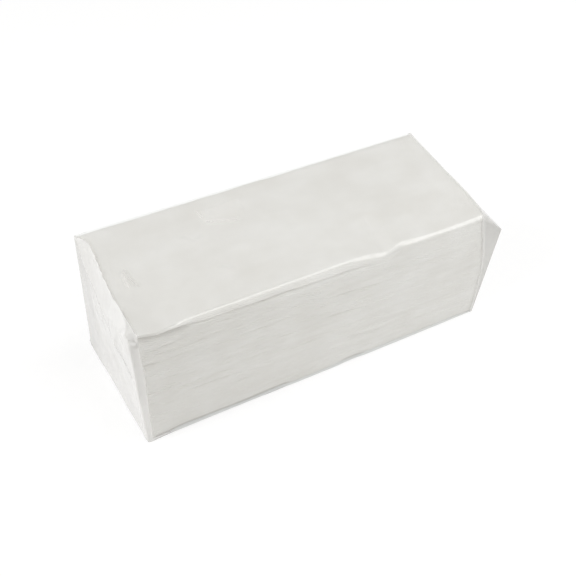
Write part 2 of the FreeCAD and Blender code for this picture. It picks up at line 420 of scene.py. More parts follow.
def make_film():
    """Clear glossy film: see-through face on, a mirror at a glance, milky where it is folded.

    The mesh says how milky it is at each point, and how far painted shade greys the milk. Below 0
    the painted shade stops light from going through instead, which paints the milk paler.
    """
    material, output = new_material("clear_film")
    nodes = Nodes(material.node_tree)
    place = nodes.add("TexCoord").outputs["Object"]
    folded = nodes.add("Attribute", {"attribute_name": "milk"}).outputs["Fac"]
    shade = nodes.add("Attribute", {"attribute_name": "painted_film_shade"}).outputs["Fac"]
    ripples = nodes.noise(nodes.stretched(place, (1, 1.6, 1.2)), RIPPLES, 3.0, 0.55)
    fine = nodes.noise(nodes.stretched(place, (1, 0.35, 1.5)), FINE_RIPPLES, 2.0, 0.5)
    rippled = nodes.bump(ripples, RIPPLE_DEPTH, 0.35)
    surface = nodes.bump(fine, FINE_RIPPLE_DEPTH, 0.18, Normal=rippled)
    facing = nodes.add("LayerWeight", Blend=0.5, Normal=surface).outputs["Facing"]
    glance = nodes.math("POWER", facing, GLANCE_POWER)
    mirror_share = nodes.math("MULTIPLY_ADD", glance, MIRROR_AT_GLANCE, MIRROR_FACE_ON)
    clear_colour = nodes.ramp(folded, CLEAR_FILM, CLEAR_FILM_BY_FOLDS, 0.35, 0.72)
    clear = nodes.add("BsdfTransparent", Color=clear_colour).outputs[0]
    # Painted shade greys the milk; below 0 it paints the milk paler by letting less light through.
    milk_colour = nodes.ramp(shade, MILK_PALE, MILK_IN_PAINTED_SHADE, 0.0, 1.0)
    front_milk = nodes.add("BsdfDiffuse", Color=milk_colour, Roughness=0.0).outputs[0]
    through_milk = nodes.add("BsdfTranslucent", Color=milk_colour).outputs[0]
    through_share = nodes.math("MULTIPLY_ADD", shade, MILK_THROUGH, MILK_THROUGH)
    through_share = nodes.math("MINIMUM", through_share, MILK_THROUGH)
    milk = nodes.mix(through_share, front_milk, through_milk)
    streaks = nodes.noise(nodes.stretched(place, (0.6, 1, 1.4)), STREAKS, 4.0, 0.6)
    milk_share = nodes.math("MULTIPLY_ADD", streaks, STREAK_MILK, folded)
    mirror = nodes.add("BsdfGlossy", Color=(1, 1, 1, 1), Roughness=GLOSS_ROUGHNESS, Normal=surface)
    body = nodes.mix(milk_share, clear, milk)
    nodes.put(output.inputs["Surface"], nodes.mix(mirror_share, body, mirror.outputs[0]))
    return material


# ---------------- towels

POINTS_PER_FOLD = 4  # groove, lower cheek, nose and upper cheek
POINTS_UP = TOWELS * POINTS_PER_FOLD + 1  # points up a long side
ACROSS = 24  # cells across the top, the bottom and the cut ends
SHARES_ACROSS = (np.arange(1, ACROSS) / ACROSS)[None, :, None]
NOSE_POWER, CUT_POWER = 0.75, 0.6  # below 1: round folds, and narrow grooves between them
LOOSE_FOLD, TIGHT_FOLD = 0.42, 0.14  # from a fold's nose back to the groove, at -X and at +X

# How far back the folds lie on the front's middle, at the front's ends and on the back.
FRONT_FOLDS, FRONT_FOLDS_BY_ENDS, BACK_FOLDS = 0.65, 0.2, 0.15
# How much they differ: in groups, in bundles and singly, how far a stray one stands out, and what
# is left of all this at +X, where they are pressed tight.
GROUPS, BUNDLES, SINGLES, STRAYS, LEFT_OF_IT_AT_RIGHT = 0.28, 0.10, 0.31, 0.6, 0.45
HOLLOWS = 0.8  # depth of the broad hollows near -X, at the front
DEEPEST_FOLD = 3.4
WANDER = 0.22  # how far a fold rises and falls along the pack
# How far the cut ends swell towards the end wall, as a share of the room there, at -X and +X. The
# wall is flat at +X and the stack leans against it, so the middle of the cut end lies back.
SWELLING = {-1: 0.55, 1: -0.1}
# Painted shade on the paper between deep folds, and a painted shadow under the film that stands off
# the table.
PAINTED_SHADE_BETWEEN_FOLDS, PAINTED_SHADOW_UNDER_EDGE = 0.28, 0.55
# What the random patterns start from, -1 standing for the front or -X and 1 for the back or +X.
FOLD_SEEDS, WANDER_SEEDS, CUT_SEEDS, GAP_SEED = {-1: 11, 1: 31}, {-1: 5, 1: 6}, {-1: 41, 1: 51}, 77

# Long open gaps between folds, on the side that the camera sees: X and height of both ends, how
# deep it is, half its height, and how far its upper lip stands out.
GAPS = [
    (-118, 81.7, -84, 80.6, 2.3, 2.1, 0.3),
    (-112, 82.2, 30, 78.2, 1.5, 0.6, 0.25),
    (-113, 71, -90, 72.5, 0.9, 0.45, 0.35),
    (-100, 67, -72, 66, 0.8, 0.4, 0.3),
    (-113, 61, -88, 60.5, 0.9, 0.4, 0.35),
    (-54, 58.5, -26, 57.5, 0.7, 0.35, 0.3),
    (2, 61, 38, 58, 0.8, 0.4, 0.3),
    (14, 71, 50, 69, 0.6, 0.3, 0.2),
    (0, 46, 38, 42, 0.7, 0.4, 0.3),
    (-110, 47, -85, 45, 0.7, 0.4, 0.3),
    (-84, 29.5, -50, 27.5, 0.8, 0.4, 0.3),
    (-60, 21, -36, 20.5, 0.6, 0.3, 0.3),
    (14, 22, 40, 17, 0.6, 0.35, 0.3),
    (-105, 14, -80, 12.5, 0.6, 0.3, 0.25),
]
LONG_GAP = GAPS[1]
SHOULDER_LEAN = 1.8  # how far the folds above it lean back

# The cut ends: how far they lie back, and how far single sheets, groups of them and the grooves
# between the towels lie back from there.
CUT_BACK, CUT_SHEETS, CUT_GROUPS, CUT_GROOVES = 0.35, 0.35, 0.4, 0.35
IN_FROM_FLAT = 0.2  # the towels keep this much more room under the film's flat


def shoulder_lean(x, z):
    """How far the folds above the long top gap lean back towards the top edge, at the front."""
    x0, z0, x1, z1 = LONG_GAP[:4]
    gap_height = blend(z0, z1, (x - x0) / (x1 - x0))
    along = window(-92, -66, 18, 42, x)
    return SHOULDER_LEAN * along * np.clip((z - gap_height) / 6.0, 0, 1)


def side_depth(x, z, side):
    """How far the folds of one long side lie back from the foremost ones."""
    seed, foremost = FOLD_SEEDS[side], BACK_FOLDS
    if side < 0:
        foremost = blend(FRONT_FOLDS, FRONT_FOLDS_BY_ENDS, smooth_step(92, 108, np.abs(x)))
    groups = smooth_noise(x / 14, z / 1.7, seed)
    bundles = smooth_noise(x / 60, z / 6.0, seed + 1)
    single = smooth_noise(x / 9, z / 0.9, seed + 2)
    stray = np.clip(smooth_noise(x / 5, z / 0.8, seed + 3) - 0.45, 0, 1)
    loose = blend(1.0, LEFT_OF_IT_AT_RIGHT, smooth_step(0, 80, x))
    uneven = GROUPS * groups + BUNDLES * bundles + SINGLES * single - STRAYS * stray
    back = foremost + loose * uneven
    if side < 0:
        hollows = np.clip(smooth_noise(x / 22, z / 11, seed + 4), 0, 1)
        back += HOLLOWS * hollows * smooth_step(50, 90, -x)
        for x0, z0, x1, z1, depth, half_height, lip in GAPS:
            height = blend(z0, z1, (x - x0) / (x1 - x0)) + 0.5 * smooth_noise(x / 9, z0, GAP_SEED)
            there = window(x0 - 4, x0 + 4, x1 - 8, x1 + 8, x)
            above = z - height
            back += there * depth * np.exp(-(above / half_height) ** 2)
            above -= half_height
            back -= there * lip * window(-0.4, 0.8, 1, 4, above)
        back += shoulder_lean(x, z)
    return np.clip(back, 0.0, DEEPEST_FOLD)


def layer_sag(x, height):
    """How far the layers lie below their even places: they slope down towards +X.

    The lowest layer and the top face stay in place, so the topmost towels lie loosest.
    """
    share = height / STACK_TOP
    return LAYER_SLOPE * smooth_step(-125, 110, x) * share * (1 - smooth_step(0.84, 1.0, share))


def corner_inset(z):
    """How far the film's rounded long edges hold the towels back, at this height."""
    radius = WRAP_EDGE - FILM_GAP
    into_corner = np.clip(radius - np.minimum(z - STACK_FLOOR, STACK_TOP - z), 0, radius)
    return radius - np.sqrt(radius ** 2 - into_corner ** 2)


def towel_columns():
    """Places along X, closer together towards the cut ends."""
    share = np.linspace(-1, 1, 89)
    return STACK_END * np.sign(share) * (1 - (1 - np.abs(share)) ** 1.15)


def side_of_folds(x, side):
    """Points up one long side: an array of (along X, up the side, xyz)."""
    fold = np.arange(POINTS_UP) / POINTS_PER_FOLD
    pitch = (STACK_TOP - STACK_FLOOR) / TOWELS
    height = STACK_FLOOR + pitch * fold
    in_fold = np.abs(np.sin(math.pi * fold)) ** NOSE_POWER
    x, height = np.meshgrid(x, height, indexing="ij")
    wander = WANDER * smooth_noise(x / 30, height / 3.0, WANDER_SEEDS[side])
    edge = np.minimum(height - STACK_FLOOR, STACK_TOP - height)
    z = height + wander * np.clip(edge / 4, 0, 1) - layer_sag(x, height)
    z = z - (STACK_FLOOR - 0.15) * np.clip(1 - edge / 6, 0, 1) * (height < STACK_TOP / 2)
    back = side_depth(x, z, side)
    rounding = corner_inset(z) * (1 - edge_sharpness(x, side * STACK_SIDE, z))
    groove = blend(LOOSE_FOLD, TIGHT_FOLD, smooth_step(-90, 70, x))
    back = back + rounding + groove * (1 - in_fold)
    return np.stack([x, side * (STACK_SIDE - back), z], axis=2)


def towel_block_points():
    """The block's long sides, top and bottom as one grid: (along X, round the section, xyz)."""
    x = towel_columns()
    front = side_of_folds(x, -1)
    back = side_of_folds(x, 1)
    top = blend(front[:, -1:], back[:, -1:], SHARES_ACROSS)
    bottom = blend(back[:, :1], front[:, :1], SHARES_ACROSS)
    return np.concatenate([front, top, back[:, ::-1], bottom], axis=1)


def cut_end_points(section, side):
    """The inner points of one cut end: the edges of all the sheets, slightly out of line."""
    front = section[:POINTS_UP]
    back = section[POINTS_UP + ACROSS - 1:2 * POINTS_UP + ACROSS - 1][::-1]
    points = blend(front[1:-1, None], back[1:-1, None], SHARES_ACROSS)
    fold = np.arange(1, POINTS_UP - 1) / POINTS_PER_FOLD
    groove = 1 - np.abs(np.sin(math.pi * fold)) ** CUT_POWER
    y, z = points[:, :, 1], points[:, :, 2]
    sheets = CUT_SHEETS * smooth_noise(y / 30, z / 0.86, CUT_SEEDS[side])
    groups = CUT_GROUPS * smooth_noise(y / 50, z / 9, CUT_SEEDS[side] + 1)
    share = SHARES_ACROSS[0, :, 0]
    edge = np.minimum(share, 1 - share)
    hold = smooth_step(0, 0.06, edge)[None, :]
    inwards = hold * (CUT_BACK + (sheets + groups)) + CUT_GROOVES * groove[:, None] * hold
    room = side * (wall_place(y, z, side) - lean(points[:, :, 0], y, z)) - STACK_END
    bulge = SWELLING[side] * np.clip(room, 0, 8) * smooth_step(0, 0.25, edge)[None, :]
    bulge = bulge * smooth_step(0, 20, np.minimum(z, STACK_TOP - z))
    points[:, :, 0] += side * (bulge - np.clip(inwards, 0, 3))
    return points


def hollow_share(front):
    """Painted shade on the paper where it lies deep between the folds, and a painted shadow under
    the film that stands off the table, for points of the front side.
    """
    x, y, z = np.moveaxis(front, 2, 0)
    edge = blend(1.5, 5.0, smooth_step(-95, -80, x))
    below_edge = smooth_step(0, 1.5, STACK_TOP - z - edge)
    # Painted shade between deep folds, and low down a painted shadow under the lifted film.
    shade_between_folds = PAINTED_SHADE_BETWEEN_FOLDS * smooth_step(0.9, 3.2, STACK_SIDE + y) * below_edge
    shadow_under_edge = PAINTED_SHADOW_UNDER_EDGE * lifted_share(x) * (1 - smooth_step(1.5, 3.5, z))
    return np.maximum(shade_between_folds, shadow_under_edge)


def make_towels(material):
    """One closed mesh: long sides with folds, top and bottom, whose faces point inwards, and the
    cut ends, whose faces point outwards.
    """
    skin = towel_block_points()
    columns, around = skin.shape[:2]
    points = [skin.reshape(-1, 3)]
    faces = [tube_faces(columns, around)]
    rows = POINTS_UP
    total = columns * around
    for column, side in ((0, -1), (columns - 1, 1)):
        section = skin[column]
        inner = cut_end_points(section, side)
        first = column * around
        grid = np.zeros((rows, ACROSS + 1), int)
        grid[:, 0] = first + np.arange(rows)
        grid[:, -1] = first + rows + ACROSS - 1 + np.arange(rows)[::-1]
        grid[-1, 1:-1] = first + rows + np.arange(ACROSS - 1)
        grid[0, 1:-1] = first + 2 * rows + ACROSS - 1 + np.arange(ACROSS - 1)[::-1]
        grid[1:-1, 1:-1] = total + np.arange((rows - 2) * (ACROSS - 1)).reshape(rows - 2, -1)
        total += (rows - 2) * (ACROSS - 1)
        faces.append(quads(grid) if side > 0 else quads(grid)[:, ::-1])
        points.append(inner.reshape(-1, 3))
    points = np.concatenate(points)
    # Painted shade and shadow for the paper, on the front side's points.
    hollow = np.zeros(len(points))
    hollow[:columns * around].reshape(columns, around)[:, :rows] = hollow_share(skin[:, :rows])
    points = chamfered(np.stack(settled(*points.T), axis=1), FILM_GAP + IN_FROM_FLAT)
    item = make_object("towel_block", points, np.concatenate(faces), material, TOWEL_SHARP_ANGLE)
    write_values(item, "hollow", hollow)
    return item


# ---------------- film

def wall_place(y, z, side):
    """X of an end wall of the film at (y, z)."""
    forward, up = forward_share(y), np.clip(z / WRAP_TOP, 0, 1)
    if side > 0:
        return WRAP_END + (EAR[0] - WRAP_END) * forward * up
    return -WRAP_END - LEFT_PULL * forward * up ** 1.3


def film_section():
    """Round the film's section, from the underside's end at +Y: an array of y and z."""
    corner_steps, flat_steps = 10, 62
    radius = WRAP_EDGE
    middle_y, low_z, high_z = WRAP_SIDE - radius, radius, WRAP_TOP - radius
    centres = [(middle_y, low_z), (middle_y, high_z), (-middle_y, high_z), (-middle_y, low_z)]
    points = []
    for number, centre in enumerate(centres):
        start = -math.pi / 2 + number * math.pi / 2
        angles = start + np.linspace(0, math.pi / 2, corner_steps + 1)
        outwards = np.stack([np.cos(angles), np.sin(angles)], axis=1)
        arc = np.array(centre) + radius * outwards
        following = np.array(centres[(number + 1) % 4]) + radius * outwards[-1]
        share = np.linspace(0, 1, flat_steps + 1)[1:-1, None]
        points += [arc, blend(arc[-1], following, share)]
    return np.concatenate(points)


def squared(y, z):
    """Points of the rounded section, moved out to a section with sharp corners."""
    middle_z = WRAP_TOP / 2
    past_y = np.abs(y) - (WRAP_SIDE - WRAP_EDGE)
    past_z = np.abs(z - middle_z) - (middle_z - WRAP_EDGE)
    in_corner = (past_y > 0) & (past_z > 0)
    stretch = np.where(in_corner, WRAP_EDGE / np.maximum(np.maximum(past_y, past_z), 1e-6), 1)
    new_y = np.sign(y) * (np.abs(y) + np.where(in_corner, past_y * (stretch - 1), 0))
    new_z = z + np.where(in_corner, np.sign(z - middle_z) * past_z * (stretch - 1), 0)
    return new_y, new_z


def edge_sharpness(x, y, z):
    """How far each of the pack's long edges is drawn out to a sharp corner, from 0 to 1."""
    low = z < WRAP_TOP / 2
    front = np.where(low, sharper_bottom_edge(x), sharper_front_edge(x))
    return np.where(np.asarray(y) < 0, front, np.where(low, 0.0, BACK_EDGE_SHARPNESS))


def fold_line(y, z, side):
    """Where the film folds over an end, for points round the section at that end."""
    y, z = squared(y, z)
    if side < 0:
        drop = LEFT_CORNER_DROP * smooth_step(0.8, 1.0, forward_share(y)) * (z / WRAP_TOP) ** 4
        pulled_in = 0.9 * forward_share(y) ** 2 * (1 - smooth_step(0, 30, z))
        return wall_place(y, z, side) + pulled_in, y, z - drop
    pull = forward_share(y) * np.clip(z / WRAP_TOP, 0, 1)
    ear = EAR - np.array([WRAP_END, -WRAP_SIDE, WRAP_TOP])
    return WRAP_END + ear[0] * pull, y + ear[1] * pull, z + ear[2] * pull


# Rings of the film from the towels' end to the fold, as shares of the way, and on an end wall.
END_RINGS = np.array([0.06, 0.13, 0.2, 0.28, 0.37, 0.46, 0.55, 0.64, 0.73, 0.82, 0.91, 1.0])
WALL_RINGS = 36
FLAT_FROM = {-1: 1 - FOLD_ROUNDING, 1: 0.985}  # where an end wall starts, as a share of its size
CHAMFER_BLEND = 0.5  # film moved this far counts as wholly part of the flat


def film_sheet():
    """The film as one grid of rings, with what each point is.

    points: (ring, round the section, xyz). end: 0 in the middle of the pack, 1 where the towels
    end. fold: 0 over the towels, rising to 1 where an end wall starts. wall: True on an end wall.
    chamfer: 1 on the flat over the top edge at -X. At +X the film keeps close to the towels in y at
    first (eased), and turns out to the ear later.
    """
    section = film_section()
    along = np.concatenate([[-1, -0.996, -0.99, -0.982], np.linspace(-0.974, -0.86, 15),
                            np.linspace(-0.846, 0.972, 116), [0.982, 0.99, 0.996, 1]])
    x, y = np.meshgrid(along * STACK_END, section[:, 0], indexing="ij")
    z = np.broadcast_to(section[:, 1], x.shape).copy()
    sharp_y, sharp_z = squared(y, z)
    sharp = edge_sharpness(x, y, z)
    y, z = blend(y, sharp_y, sharp), blend(z, sharp_z, sharp)
    tube = np.stack(settled(x, y, z), axis=2)
    parts, ends, folds, walls = [tube], [np.abs(along)], [0 * along], [np.zeros(len(along), bool)]
    for side in (-1, 1):
        start = tube[0 if side < 0 else -1]
        fold = np.stack(fold_line(section[:, 0], section[:, 1], side), axis=1)
        middle = np.array([side * WRAP_END, 0.0, WRAP_TOP / 2])
        inner = blend(middle, fold, FLAT_FROM[side])
        share = END_RINGS[:, None, None]
        strip = blend(blend(start, fold, share), blend(fold, inner, share), share)
        if side > 0:
            eased = np.concatenate([share, share ** 2, share], axis=2)
            strip = np.concatenate([blend(start, fold, eased), inner[None]])
        shares = np.linspace(1, 0, WALL_RINGS)[1:-1]
        wall = blend(middle, inner, shares[:, None, None])
        wall[:, :, 0] += side * WALL_BULGE * (1 - shares[:, None] ** 2)
        rings = np.concatenate([strip, wall])
        share = np.concatenate([END_RINGS, np.ones(len(rings) - len(END_RINGS))])
        on_wall = np.arange(len(rings)) >= len(END_RINGS)
        order = slice(None, None, side)
        place = 0 if side < 0 else len(parts)
        parts.insert(place, rings[order])
        ends.insert(place, np.ones(len(rings)))
        folds.insert(place, share[order])
        walls.insert(place, on_wall[order])
    square = np.concatenate(parts)
    points = chamfered(square, 0)
    moved = smooth_step(0, CHAMFER_BLEND, np.linalg.norm(points - square, axis=2))
    spread = [np.broadcast_to(np.concatenate(values)[:, None], points.shape[:2])
              for values in (ends, folds, walls)]
    return dict(zip(("points", "chamfer", "end", "fold", "wall"), [points, moved] + spread))


def normals_of(grid):
    """Outward normals of a grid that is closed round the section."""
    along = np.gradient(grid, axis=0)
    around = np.roll(grid, -1, axis=1) - np.roll(grid, 1, axis=1)
    normal = np.cross(around, along)
    return normal / np.maximum(np.linalg.norm(normal, axis=2, keepdims=True), 1e-9)


def pinch(points, corner, folds, reach, height, seed):
    """Small folds that run out from a corner where the film was gathered."""
    offset = points - corner
    distance = np.linalg.norm(offset, axis=-1)
    outwards = np.sign(corner - np.array([0, 0, WRAP_TOP / 2]))
    outwards = outwards / np.linalg.norm(outwards)
    first = np.cross(outwards, [0, 0, 1.0])
    first /= np.linalg.norm(first)
    second = np.cross(outwards, first)
    angle = np.arctan2(offset @ second, offset @ first)
    wave = np.cos(folds * angle + 2.2 * smooth_noise(angle, distance / 9, seed))
    strength = window(0, 0.25, 0.25, 1, distance / reach)
    return height * strength * (1 - np.abs(wave)) ** 0.8


def inside_outline(u, v, outline):
    """How far each point (u, v) is inside a convex outline that goes round anticlockwise."""
    inside = np.full(np.shape(u), 1e9)
    for (u0, v0), (u1, v1) in zip(outline, outline[1:] + outline[:1]):
        length = math.hypot(u1 - u0, v1 - v0)
        inside = np.minimum(inside, ((u1 - u0) * (v - v0) - (v1 - v0) * (u - u0)) / length)
    return inside


def tilted_facet(u, v, outline, low, high):
    """A flat patch inside a convex outline, rising with v from low to high, with soft edges."""
    first, last = min(v for u, v in outline), max(v for u, v in outline)
    rise = blend(low, high, np.clip((v - first) / (last - first), 0, 1))
    return rise * smooth_step(-1.4, 1.4, inside_outline(u, v, outline))


def crinkles(y, down, seed):
    """Small sharp crumples of film that is pressed and creased."""
    return CRINKLES * (creased_noise(y / 5.0, down / 5.0, seed) - 0.4)


# The top flap of the film's folded -X end: how far back its hem lies (in y), at each distance down
# the film.
HEM_DOWN = [0, 5, 13, 18, 22, 25, 29, 37, 44]
HEM_BACK = [46, 43, 34, 26, 16, 5, -1, -16, -40]

# Folds of the -X end: the path in y and in distance down the film, the height and the width.
LEFT_FOLDS = [
    ([(40, 3), (25, 4), (12, 6), (2, 8)], -0.35, 1.6),
    ([(27, 1), (13, 2), (2, 3)], 0.45, 1.8),
    ([(8, 26), (6, 34), (4, 42)], 0.35, 1.3),
    ([(20, 24), (17, 34), (12, 44)], 0.3, 1.8),
    ([(30, 30), (28, 48), (22, 62)], 0.25, 2.5),
    ([(-14, 6), (-24, 3), (-33, 4)], 0.3, 1.6),
    ([(-24, 36), (-34, 28), (-43, 16)], 0.3, 1.8),
]
CRUMPLED = [(-42, 10), (-28, 26), (-16, 38)]  # the middle of the crumpled strip, likewise
HEM_STEP, HEM_RIDGE = 0.5, 0.3  # heights of the hem and of the ridge along it
CRUMPLES, SHOULDER_WAVES, WALL_WAVES, CRINKLES = 0.4, 0.35, 0.4, 0.12  # heights on the -X end
EDGE_SHARE = 0.15  # what is left of all these heights at the upright edges
FILM_WAVES = 0.10  # height of the slow waves over the towels
LOWEST_FILM = 0.02  # no film is lower than this above the table

# Folds of the +X end: the path in y and z, the height and the width.
RIGHT_FOLDS = [([(-46, 69), (-20, 58), (0, 46)], 0.7, 2.2), ([(-44, 2), (-18, 30)], 0.5, 1.8)]


def distance_down(x, z):
    """How far down the film a point of the -X end lies, from LEFT_END_FROM on the top."""
    return np.clip(LEFT_END_FROM - x, 0, 7) + np.clip(WRAP_TOP - z, 0, None)


def left_end_relief(sheet):
    """The flap, folds and crumples of the -X end, as a height out of the film."""
    x, y, z = np.moveaxis(sheet["points"], 2, 0)
    near = smooth_step(100, 108, -x)
    down = distance_down(x, z)
    inside_hem = np.interp(down, HEM_DOWN, HEM_BACK) - y
    height = HEM_STEP * smooth_step(-2.5, 1.5, inside_hem)
    height += HEM_RIDGE * np.exp(-((inside_hem - 2) / 2.4) ** 2)
    for path, rise, width in LEFT_FOLDS:
        height += rise * crease(y, down, path, width)
    height += tilted_facet(y, down, BRIGHT_FACET, -0.2, 1.0)
    crumpled = np.exp(-(distance_to_path(y, down, CRUMPLED) / 6.0) ** 2)
    height += CRUMPLES * crumpled * creased_noise(y / 7.5, down / 7.5, 71)
    shoulder = np.exp(-((down - 5) / 6.0) ** 2)
    height += SHOULDER_WAVES * shoulder * smooth_noise(y / 6, down / 3.5, 73)
    wall = smooth_step(6, 14, down)
    height += WALL_WAVES * wall * smooth_noise(y / 15, z / 19, 75)
    height = height * blend(EDGE_SHARE, 1, smooth_step(0, 7, WRAP_SIDE - np.abs(y)))
    return near * (height + crinkles(y, down, 77) * 0.6 * (1 - wall))


def right_end_relief(sheet):
    """The +X end is drawn tight: long soft folds from the pulled corner, and few creases."""
    x, y, z = np.moveaxis(sheet["points"], 2, 0)
    height = sum(rise * crease(y, z, path, width) for path, rise, width in RIGHT_FOLDS)
    height += 0.5 * (creased_noise(y / 13, z / 13, 83) - 0.4)
    edges = np.minimum(WRAP_SIDE - np.abs(y), np.minimum(WRAP_TOP - z, z))
    height = height * smooth_step(0, 8, edges) * sheet["wall"]
    strip = window(0, 0.3, 0.85, 1.0, sheet["fold"])
    return (x > 0) * (height + 0.5 * strip * crinkles(y + x, z, 87))


def film_relief(sheet):
    """How far the film stands off its taut shape, over the whole grid."""
    points = sheet["points"]
    x, y, z = np.moveaxis(points, 2, 0)
    over_towels = 1 - smooth_step(0, 0.4, sheet["fold"])
    height = over_towels * FILM_WAVES * (1 + smooth_noise(x / 17, (y + z) / 9, 91))
    on_top = over_towels * (z > TOP_FACE_FROM)
    for path, rise, width, _, _ in TOP_CREASES:
        height += on_top * rise * crease(x, y, path, width)
    height += left_end_relief(sheet) + right_end_relief(sheet)
    for corner, folds, reach, rise, seed in PINCHES:
        height += pinch(points, np.array(corner), folds, reach, rise, seed)
    return np.maximum(height, np.where(sheet["fold"] < 0.5, -0.1, -2.0))


WALL_MILK, END_MILK = 0.88, 0.85  # how milky the end walls are, and the film past the towels
# How much milkier it is in the loose patch, on the bright facet, where the extra milk is a painted
# sheen, and under the hem.
PATCH_MILK, FACET_PAINTED_SHEEN, HEM_MILK = 0.15, 0.1, 0.05
OVERLAP_LEFT, OVERLAP_RIGHT = 0.3, 0.5  # how far in over the towels' ends the milk reaches

# Painted shade on the milk: beside the towels at -X, low down (below 0, painted paler) and higher
# up, and at +X likewise, and where the end's film is tucked in at the back.
PAINTED_SHADE_LEFT, PAINTED_SHADE_RIGHT, PAINTED_SHADE_TUCKED = (-0.3, 0.2), (0.42, 0.62), 0.6
# Painted light on the flat at -X.
PAINTED_LIGHT_ON_FLAT = (0.25, 0.5)  # how much paler it is on the flat at -X, at the back and the front
# Painted shade in the star, and painted light along its rays.
STAR_PAINTED_SHADE, STAR_PAINTED_RAY_LIGHT = 0.5, 1.5  # how grey the star is, and how much paler its rays


def milkiness(sheet):
    """How milky the film is: clear over the towels, and whiter where it is folded and slack, with
    painted sheen on the bright facet and painted light at the low front corner at -X.
    """
    x, y, z = np.moveaxis(sheet["points"], 2, 0)
    inside_end = STACK_END * (1 - sheet["end"])
    overlap = np.where(x < 0, OVERLAP_LEFT, OVERLAP_RIGHT) + 0.15 * smooth_noise(z / 11, y / 9, 94)
    over_end = smooth_step(-0.3, 0.3, overlap - inside_end)
    on_top = (z > WRAP_TOP - 7) & (np.abs(y) < WRAP_SIDE - 2) & (x < 0) & (sheet["fold"] == 0)
    front = np.where(on_top | (inside_end > 5), 0.0, END_MILK * over_end)
    milk = np.where(sheet["wall"], WALL_MILK, blend(front, WALL_MILK, sheet["chamfer"]))
    down = distance_down(x, z)
    # Painted sheen: the bright facet is made milkier so that it looks lit.
    painted_sheen_facet = smooth_step(-1, 1, inside_outline(y, down, BRIGHT_FACET)) * (x < LEFT_END_FROM)
    hem = smooth_step(-1, 1.5, np.interp(down, HEM_DOWN, HEM_BACK) - y) * smooth_step(-14, -4, y)
    hem = hem * (x < LEFT_END_FROM)
    patch = smooth_step(-0.5, 2.5, inside_outline(x, y, LOOSE_PATCH)) * smooth_step(82, 84, z)
    # Painted light: the film at the low front corner at -X is made milky so that it looks lit.
    painted_light_low_corner = smooth_step(98, 104, -x) * (1 - smooth_step(2, 4, z)) * (y < -40)
    milk = np.maximum(milk, END_MILK * painted_light_low_corner)
    # Along the top creases the film is whiter: partly creased film, partly a painted highlight.
    for path, _, width, white, _ in TOP_CREASES:
        milk = np.maximum(milk, white * crease(x, y, path, width) * (z > TOP_FACE_FROM))
    return np.clip(milk + PATCH_MILK * patch + FACET_PAINTED_SHEEN * painted_sheen_facet + HEM_MILK * hem, 0, 1)


def painted_film_shade_and_light(sheet):
    """Painted shade on the milky film, and below 0 painted light, which lets less light through it.

    The film beside the towels' ends is painted grey for the shade of their folds, and so is the
    film tucked in at the back of the -X end and along the top creases. The flat over the top edge at
    -X is folded double and painted paler, and a star of small folds is painted at its front corner,
    as shade with paler rays.
    """
    x, y, z = np.moveaxis(sheet["points"], 2, 0)
    beside = smooth_step(0.99, 1.0, sheet["end"]) * ~sheet["wall"]
    beside = beside * blend(0.5, 1.0, smooth_step(0, 0.3, sheet["fold"]))
    left = blend(*PAINTED_SHADE_LEFT, smooth_step(12, 45, z)) * beside * (y < -WRAP_SIDE + 3)
    right = beside * blend(*PAINTED_SHADE_RIGHT, smooth_step(50, 75, z)) * smooth_step(15, 38, -y)
    down = distance_down(x, z)
    tucked = smooth_step(-1, 2, y - np.interp(down, HEM_DOWN, HEM_BACK)) * smooth_step(10, 44, y)
    left = np.maximum(left, PAINTED_SHADE_TUCKED * tucked * sheet["wall"])
    # Painted shade along the top creases.
    for path, _, width, _, painted_film_shade in TOP_CREASES:
        left = np.maximum(left, painted_film_shade * crease(x, y, path, 2 * width) * (z > TOP_FACE_FROM))
    on_flat = smooth_step(0, 0.2, sheet["chamfer"])
    left = left - on_flat * blend(*PAINTED_LIGHT_ON_FLAT, smooth_step(0, 14, -y))
    # The painted star: shade in its middle, paler along its rays.
    middle, reach, seed = STAR
    from_star = np.linalg.norm(sheet["points"] - middle, axis=2)
    rays = pinch(sheet["points"], np.array(middle), 2, reach, 1.0, seed)
    shaded = (1 - smooth_step(0.5 * reach, 0.9 * reach, from_star)) * ~sheet["wall"]
    left = left + STAR_PAINTED_SHADE * shaded - STAR_PAINTED_RAY_LIGHT * rays
    return np.where(x > 0, right, left)


def make_film_skin(material):
    """One closed skin: the tube, and at both ends the walls that close it."""
    sheet = film_sheet()
    grid = sheet["points"] + normals_of(sheet["points"]) * film_relief(sheet)[:, :, None]
    grid[:, :, 2] = np.maximum(grid[:, :, 2], LOWEST_FILM)
    rings, around = grid.shape[:2]
    middles = [grid[0].mean(axis=0), grid[-1].mean(axis=0)]
    points = np.concatenate([grid.reshape(-1, 3), middles])
    faces = list(tube_faces(rings, around))
    left, right, last = rings * around, rings * around + 1, (rings - 1) * around
    for step in range(around):
        following = (step + 1) % around
        faces.append([left, following, step])
        faces.append([right, last + step, last + following])
    item = make_object("film_skin", points, faces, material, FILM_SHARP_ANGLE)
    write_values(item, "milk", np.append(milkiness(sheet), [WALL_MILK, WALL_MILK]))
    write_values(item, "painted_film_shade", np.append(painted_film_shade_and_light(sheet), [0, 0]))
    return item


# ---------------- stage

FLOOR_REACH = 0.55  # metres from the middle to each side
FLOOR_TONE = 0.84  # of the floor that lights the pack
SEEN_TONE, SEEN_GLOW = 0.45, 0.62  # of the floor that is seen: what is lit, and what glows
# Painted contact shadow: near the pack the floor's glow is dimmed to this share.
CONTACT_SHADE, CONTACT_REACH = 0.6, 0.004  # glow left by the pack, and how near, in metres
WORLD_LIGHT, WORLD_COLOUR = 0.585, (1.0, 0.995, 0.985, 1)

